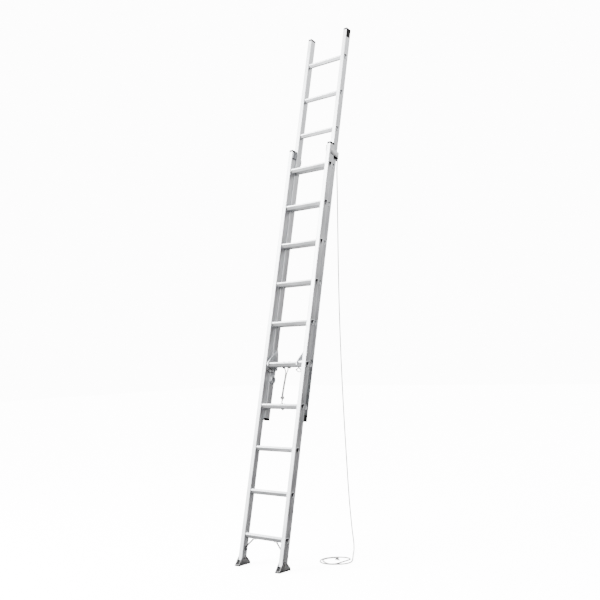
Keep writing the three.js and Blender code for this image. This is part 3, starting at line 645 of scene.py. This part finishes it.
rungShape = {"halfTread": 0.009, "rise": 0.0095, "drop": 0.0105, "round": 0.009, "ribPitch": 0.0033,
             "ribDepth": 0.0007, "ribSpan": 0.0365, "wall": 0.002, "collar": 0.0025, "flare": 0.0025,
             "arcPoints": 24, "footPoints": 8, "flatPoints": 24, "sidePoints": 4, "plugDepth": 0.009,
             "plugThick": 0.0008, "bead": 0.0024}


def rungSection():
    # circles at the three corners of a point-down triangle, joined by straight sides; returns the
    # section's points, the way each faces, and how far each is from the middle of the tread
    half, rise = rungShape["halfTread"], rungShape["rise"]
    corners = np.array([(half, rise), (-half, rise), (0, -rungShape["drop"])])
    counts = [rungShape["arcPoints"], rungShape["arcPoints"], rungShape["footPoints"]]
    runs = [rungShape["flatPoints"], rungShape["sidePoints"], rungShape["sidePoints"]]
    facing, centres = [], []
    edges = [corners[(i + 1) % 3] - corners[i] for i in range(3)]
    angles = [math.atan2(e[1], e[0]) - math.pi / 2 for e in edges]
    for i in range(3):
        start, end = angles[i - 1], angles[i]
        sweep = (end - start) % (2 * math.pi)
        arc = start + sweep * np.linspace(0, 1, counts[i])
        facing.append(arc)
        centres.append(np.repeat(corners[i][None], counts[i], 0))
        share = np.linspace(0, 1, runs[i] + 2)[1:-1, None]
        facing.append(np.full(runs[i], end))
        centres.append(corners[i] + share * edges[i])
    facing, centres = np.concatenate(facing), np.concatenate(centres)
    normal = np.stack([np.cos(facing), np.sin(facing)], -1)
    points = centres + rungShape["round"] * normal
    # arc length, measured from the middle of the flat tread
    run = np.concatenate([[0], np.cumsum(np.linalg.norm(np.diff(points, axis=0), axis=1))])
    middle = rungShape["arcPoints"] + (rungShape["flatPoints"] - 1) / 2
    fromMiddle = run - np.interp(middle, np.arange(len(run)), run)
    turn = np.array([[math.cos(leanAngle), math.sin(leanAngle)], [-math.sin(leanAngle), math.cos(leanAngle)]])
    return points @ turn, normal @ turn, fromMiddle


sectionPoints, sectionNormals, sectionRun = rungSection()


def wrapRound(x, depth, level, startShare, endShare, grow, count=26):
    # part of a turn round a rung, following its section at a fixed distance
    share = np.linspace(startShare, endShare, count) * len(sectionRun)
    index = np.arange(len(sectionRun) * 3)
    tiled = np.tile(sectionPoints + grow * sectionNormals, (3, 1))
    y, z = (np.interp(share + len(sectionRun), index, tiled[:, k]) for k in (0, 1))
    return np.stack([np.broadcast_to(x, y.shape), depth + y, level + z], -1)


def hitch():
    # the rope goes twice round a fly rung, its two parts run down together to a knot, and one part
    # goes round the next rung
    upper, lower, depth, x = flyRungLevels[1], flyRungLevels[0], flyRungDepth, rope["hitchX"]
    grow = rope["radius"] + 0.0006
    skins = []
    for side in (-1, 1):
        across = np.linspace(x + side * 0.031, x + side * 0.025, 30)
        turn = wrapRound(across, depth, upper, -0.22, 0.72, grow, 30)
        strand = [(x + side * 0.015, depth + 0.004, upper - 0.036),
                  (x + side * 0.0075, depth + 0.005, upper - 0.056),
                  (x + side * 0.005 - 0.002, depth + 0.005, upper - 0.085),
                  (x + side * 0.0048 - 0.008, depth + 0.005, upper - 0.160),
                  (x + side * 0.0048 - 0.012, depth + 0.005, lower + 0.084),
                  (x + side * 0.004 - 0.011, depth + 0.005, lower + 0.070)]
        skins.append(ropeSkin(smoothPath(onLadder([*turn, *strand]), 0.003)))
    knot = knotLine(np.zeros(3), 0.0046, 0.0052, math.pi / 2)
    tied = knot * (1, 1, 1.35) + (x - 0.010, depth + 0.005, lower + 0.068)
    skins.append(ropeSkin(onLadder(tied), closed=True))
    tail = [(x - 0.006, depth + 0.005, lower + 0.060), (x + 0.001, depth - 0.004, lower + 0.044),
            (x + 0.004, depth - 0.012, lower + 0.034)]
    turn = wrapRound(np.linspace(x + 0.004, x + 0.012, 30), depth, lower, 0.30, 1.22, grow, 30)
    skins.append(ropeSkin(smoothPath(onLadder([*tail, *turn]), 0.003), taper=True))
    finished(ropeObject("ropeHitch", skins), "fly", ["rope_tie"])


freeRope()
liftingRope()
hitch()
print("ropes laid")


# ---- rungs

def rungStations(inner, outer, bead):
    # (place across, how far the skin stands off the section) for the right half: a bead rolled up
    # against the stile's inside, then a collar rolled over its outside, then back along the bore
    b, c = bead, rungShape["flare"]
    beadRow = [(inner - 0.0060, 0), (inner - 0.0042, 0.25 * b), (inner - 0.0028, 0.75 * b),
               (inner - 0.0016, b), (inner - 0.0007, 0.85 * b), (inner - 0.0003, 0.4 * b),
               (inner - 0.0002, 0)]
    face, end = outer + ladder["fit"], outer + ladder["fit"] + rungShape["collar"]
    collarRow = [(face - 0.0001, 0), (face, 0.7 * c), (face + 0.0004, 0.95 * c), (face + 0.0012, c),
                 (end - 0.0006, 0.9 * c), (end - 0.0002, 0.65 * c), (end, 0.3 * c)]
    wall = -rungShape["wall"]
    bore = [(end, -0.0008), (end - 0.0003, 0.75 * wall), (end - 0.001, wall)]
    return beadRow + collarRow, bore


def rungPlug(x, depth, level):
    # a thin disc across the bore: the section drawn in by nearly the wall, at two places across
    ring = sectionPoints - (rungShape["wall"] - 0.0002) * sectionNormals
    ends = np.array([x - rungShape["plugThick"], x])[:, None]
    points = onLadder(np.stack(np.broadcast_arrays(ends, depth + ring[:, 0], level + ring[:, 1]), -1))
    count = len(ring)
    sides = gridFaces(2, count, False, True).tolist()
    return points, sides + [list(range(count))[::-1], list(range(count, 2 * count))]


def addRung(node, body, inner, outer, depth, level, bead):
    outside, bore = rungStations(inner, outer, bead)
    right, end = outside + bore, outer + ladder["fit"] + rungShape["collar"]
    # the ring of stations goes right along the outside, back along the bore, and is mirrored
    stations = np.array([*right, *[(-x, g) for x, g in right[::-1]]])
    # ribs: a cosine across the tread, cut off at no depth and at full depth, within the ribbed strip
    wave = 1.8 * np.cos(2 * np.pi * sectionRun / rungShape["ribPitch"]) - 0.1
    groove = rungShape["ribDepth"] * np.clip(wave, 0, 1)
    groove = groove * (np.abs(sectionRun) < rungShape["ribSpan"] / 2)
    outward = stations[:, 1] >= 0
    offset = stations[:, 1][:, None] - np.where(outward[:, None], groove[None, :], 0)
    section = sectionPoints[None] + offset[..., None] * sectionNormals[None]
    across = np.broadcast_to(stations[:, 0][:, None], section.shape[:2])
    points = onLadder(np.stack([across, depth + section[..., 0], level + section[..., 1]], -1))
    faces = outwardFaces(points, gridFaces(*points.shape[:2], True, True))
    skins = [(points, faces.tolist())]
    if body == "fly":
        # the fly's rungs are closed a little way inside each end
        inset = rungShape["plugDepth"]
        for x in (end - inset, -end + inset + rungShape["plugThick"]):
            plugPoints, plugFaces = rungPlug(x, depth, level)
            flat = plugPoints.reshape(-1, 3)
            quad = flat[plugFaces[0]]
            facing = np.cross(quad[1] - quad[0], quad[3] - quad[0]) @ (quad.mean(0) - flat.mean(0))
            skins.append((flat, plugFaces if facing > 0 else [face[::-1] for face in plugFaces]))
    piece = joinedMesh(node + "_look", skins, "rung")
    return finished(piece, body, [node])


for i in range(ladder["rungCount"]):
    number = f"{i + 1:02d}"
    addRung(f"base_rung_{number}", "base", ladder["baseInner"], ladder["baseOuter"], ladder["baseRungDepth"],
            baseRungLevels[i], rungShape["bead"])
    # the lock plates fit closely round the second fly rung, so it has no bead
    addRung(f"fly_rung_{number}", "fly", ladder["flyInner"], ladder["flyFace"], flyRungDepth,
            flyRungLevels[i], 0.0 if i == 1 else rungShape["bead"])
print("rungs made")


# ---- stiles

stileShape = {"corner": 0.0016, "ribCorner": 0.0008, "wall": 0.002, "flyWall": 0.0022, "flyRib": 0.0025,
              "grooveWidth": 0.0014, "grooveDepth": 0.0005, "holePlay": 0.0003, "boltHole": 0.0053,
              "holeSpan": (0.150, 0.250)}


def groovesAlong(start, end, places):
    # the corners of shallow grooves cut at distances along one side of a section
    start, end = np.array(start), np.array(end)
    ahead = (end - start) / np.linalg.norm(end - start)
    inward = np.array((-ahead[1], ahead[0]))
    half, deep = stileShape["grooveWidth"] / 2, stileShape["grooveDepth"]
    corners = []
    for place in places:
        middle = start + ahead * place
        corners += [middle - ahead * half, middle - ahead * half * 0.4 + inward * deep,
                    middle + ahead * half * 0.4 + inward * deep, middle + ahead * half]
    return [(*corner, 0) for corner in corners]


def baseStileSection():
    # a box with shallow grooves, whose outer wall runs on past its back as a lip
    a, b, d, lip = ladder["baseInner"], ladder["baseOuter"], ladder["baseDepth"], ladder["lipDepth"]
    r, small, w, lw = stileShape["corner"], stileShape["ribCorner"], stileShape["wall"], ladder["lipWall"]
    outer = [(a, 0, r), *groovesAlong((a, 0), (b, 0), (0.005, 0.030)), (b, 0, r),
             *groovesAlong((b, 0), (b, lip), (0.005, 0.046)), (b, lip, small), (b - lw, lip, small),
             (b - lw, d, 0.0004), (a, d, r), *groovesAlong((a, d), (a, 0), (0.006, 0.046))]
    inner = [(a + w, w, small), (b - lw, w, small), (b - lw, d - w, small), (a + w, d - w, small)]
    return arcCorners(outer), arcCorners(inner, 2)


def flyStileSection():
    # a box with shallow grooves, whose outer wall is set in between a rib at each edge
    a, b, face = ladder["flyInner"], ladder["flyOuter"], ladder["flyFace"]
    f, k = ladder["flyFront"], ladder["flyBack"]
    r, small, w, rib = (stileShape[key] for key in ("corner", "ribCorner", "flyWall", "flyRib"))
    outer = [(a, f, r), *groovesAlong((a, f), (b, f), (0.005, 0.030)), (b, f, small), (b, f + rib, small),
             (face, f + rib, small), (face, k - rib, small), (b, k - rib, small), (b, k, small),
             *groovesAlong((b, k), (a, k), (0.005, 0.030)), (a, k, r),
             *groovesAlong((a, k), (a, f), (0.007, 0.050))]
    inner = [(a + w, f + w, small), (face - w, f + w, small), (face - w, k - w, small), (a + w, k - w, small)]
    return arcCorners(outer), arcCorners(inner, 2)


def barMesh(sections, side, low, high):
    # the outer and inner outlines carried up from low to high, with the ring between them closed at each end
    shape = bmesh.new()
    rings = {}
    for which, section in enumerate(sections):
        for end, level in enumerate((low, high)):
            points = onLadder([(side * x, y, level) for x, y in section])
            rings[which, end] = [shape.verts.new(p) for p in points]
        count = len(section)
        for i in range(count):
            j = (i + 1) % count
            shape.faces.new([rings[which, 0][i], rings[which, 0][j], rings[which, 1][j], rings[which, 1][i]])
    for end in (0, 1):
        edges = [shape.edges.get((ring[i], ring[(i + 1) % len(ring)]))
                 for ring in (rings[0, end], rings[1, end]) for i in range(len(ring))]
        bmesh.ops.triangle_fill(shape, edges=edges, use_beauty=True)
    bmesh.ops.recalc_face_normals(shape, faces=shape.faces)
    mesh = bpy.data.meshes.new("bar")
    shape.to_mesh(mesh)
    shape.free()
    return mesh


def holeCutters(side, depth, levels, boltLevel=None, span=stileShape["holeSpan"]):
    # prisms across one side: the rung's section grown by the play, and a round bolt hole
    parts = []
    ends = side * np.array(span)
    simple = slice(None, None, 2)
    for level in levels:
        ring = sectionPoints[simple] + stileShape["holePlay"] * sectionNormals[simple]
        parts.append((np.stack([depth + ring[:, 0], level + ring[:, 1]], -1), ends))
    if boltLevel is not None:
        angle = np.linspace(0, 2 * np.pi, 24, endpoint=False)
        circle = stileShape["boltHole"] * np.stack([np.cos(angle), np.sin(angle)], -1)
        parts.append((circle + (depth, boltLevel), ends))
    skins = []
    for ring, across in parts:
        points = onLadder(np.stack([np.repeat(across[:, None], len(ring), 1),
                                    np.broadcast_to(ring[:, 0], (2, len(ring))),
                                    np.broadcast_to(ring[:, 1], (2, len(ring)))], -1))
        faces = gridFaces(2, len(ring), False, True)
        caps = [list(range(len(ring)))[::-1], list(range(len(ring), 2 * len(ring)))]
        skins.append((points, faces.tolist() + caps))
    cutter = joinedMesh("cutter", skins, "stile")
    shape = bmesh.new()
    shape.from_mesh(cutter.data)
    bmesh.ops.recalc_face_normals(shape, faces=shape.faces)
    shape.to_mesh(cutter.data)
    shape.free()
    return cutter


def addStile(node, body, side, sections, low, high, depth, levels, boltLevel=None):
    bar = bpy.data.objects.new(node + "_bar", barMesh(sections, side, low, high))
    bpy.context.scene.collection.objects.link(bar)
    cutter = holeCutters(side, depth, levels, boltLevel)
    holes = bar.modifiers.new("holes", "BOOLEAN")
    holes.operation, holes.solver, holes.object = "DIFFERENCE", "EXACT", cutter
    bpy.context.view_layer.update()
    evaluated = bar.evaluated_get(bpy.context.evaluated_depsgraph_get())
    mesh = bpy.data.meshes.new_from_object(evaluated)
    mesh.name = node + "_look"
    for gone in (bar, cutter):
        bpy.data.objects.remove(gone)
    mesh.materials.clear()
    mesh.materials.append(finishes["stile"])
    mesh.shade_smooth()
    mesh.set_sharp_from_angle(angle=sharpAngle)
    piece = bpy.data.objects.new(node + "_look", mesh)
    bpy.context.scene.collection.objects.link(piece)
    return finished(piece, body, [node])


flyTop = flyRungLevels[-1] + ladder["flyAbove"]
flyBottom = flyRungLevels[0] - ladder["flyBelow"]
endGap = ladder["capPlate"] + ladder["fit"]
for word, side in (("left", -1), ("right", 1)):
    addStile(f"base_stile_{word}", "base", side, baseStileSection(), ladder["baseBottom"],
             ladder["baseTop"] - endGap, ladder["baseRungDepth"], baseRungLevels, -ladder["footDrop"])
    addStile(f"fly_stile_{word}", "fly", side, flyStileSection(), flyBottom + endGap, flyTop - endGap,
             flyRungDepth, flyRungLevels)
print("stiles made")


# ---- fittings

def cutAway(piece, cutter):
    # takes the cutter out of the piece with its rounded edges, and keeps the result as its mesh
    tool = piece.modifiers.new("mouth", "BOOLEAN")
    tool.operation, tool.solver, tool.object = "DIFFERENCE", "EXACT", cutter
    bpy.context.view_layer.update()
    evaluated = piece.evaluated_get(bpy.context.evaluated_depsgraph_get())
    mesh = bpy.data.meshes.new_from_object(evaluated)
    piece.modifiers.clear()
    piece.data = mesh
    bpy.data.objects.remove(cutter)


# each kind's finish, body and edge radius; hooks, tongues and shoes have a body on each side
fittings = {
    "base_cap": ("black", "base", 0.0012), "fly_top_cap": ("black", "fly", 0.001),
    "fly_bottom_cap": ("black", "fly", 0.001), "fly_strip": ("strip", "fly", 0.0006),
    "guide_slider": ("black", "base", 0.001), "guide_block": ("grey", "base", 0.0015),
    "guide_bracket": ("steel", "base", 0.0008), "rung_brace": ("brace", "base", 0.0008),
    "lock_plate": ("cast", "fly", 0.0009), "lock_hook": ("cast", "hook", 0.0014),
    "lock_tongue": ("brace", "tongue", 0.0009), "foot_bolt": ("bolt", "base", 0.0007),
    "shoe": ("shoeSteel", "shoe", 0.0008), "shoe_sole": ("rubber", "shoe", 0.0012),
}
hookSpan = (0.120, 0.172)
for kind, (finish, body, radius) in fittings.items():
    for side, word in ((-1, "left"), (1, "right")):
        ridden = body if body in ("base", "fly") else f"{body}_{word}"
        piece = roundedCopy(f"{kind}_{word}", finish, ridden, radius)
        if kind == "lock_hook":
            # the mouth lets the base rung's full round section in
            cutAway(piece, holeCutters(side, ladder["baseRungDepth"], [lockLevel], span=hookSpan))
roundedCopy("pulley_sheave", "black", "sheave", 0.0006)
roundedCopy("pulley_cheek", "steel", "base", 0.0008)
roundedCopy("pulley_axle", "bolt", "base", 0.0006)

capSkirt = {"height": 0.007, "thick": 0.0008, "play": 0.00005, "corner": 0.0018}


def addCapSkirt(name, body, side, across, through, low):
    # the cap's lip round the end of the stile: two rounded outlines, each at two heights, as one closed ring
    thick, corner = capSkirt["thick"], capSkirt["corner"]
    rings = []
    for grow in (thick, capSkirt["play"]):
        (a, b), (f, k) = across, through
        box = [(a - grow, f - grow), (b + grow, f - grow), (b + grow, k + grow), (a - grow, k + grow)]
        rings.append(arcCorners([(x, y, corner) for x, y in box]))
    high = low + capSkirt["height"]
    loops = [(rings[0], low), (rings[0], high), (rings[1], high), (rings[1], low)]
    points = onLadder([[(side * x, y, level) for x, y in ring] for ring, level in loops])
    faces = outwardFaces(points, gridFaces(*points.shape[:2], True, True))
    finished(meshObject(name, points, faces.tolist(), "black"), body, [])


baseSpan, baseThrough = (ladder["baseInner"], ladder["baseOuter"]), (0, ladder["baseDepth"])
flySpan, flyThrough = (ladder["flyInner"], ladder["flyOuter"]), (ladder["flyFront"], ladder["flyBack"])
under = ladder["capPlate"] + capSkirt["height"]
for word, side in (("left", -1), ("right", 1)):
    addCapSkirt(f"baseCapSkirt_{word}", "base", side, baseSpan, baseThrough, ladder["baseTop"] - under)
    addCapSkirt(f"flyTopCapSkirt_{word}", "fly", side, flySpan, flyThrough, flyTop - under)
    addCapSkirt(f"flyBottomCapSkirt_{word}", "fly", side, flySpan, flyThrough, flyBottom + ladder["capPlate"])
print("fittings made")


# ---- the scene brought up to date

bpy.context.view_layer.update()
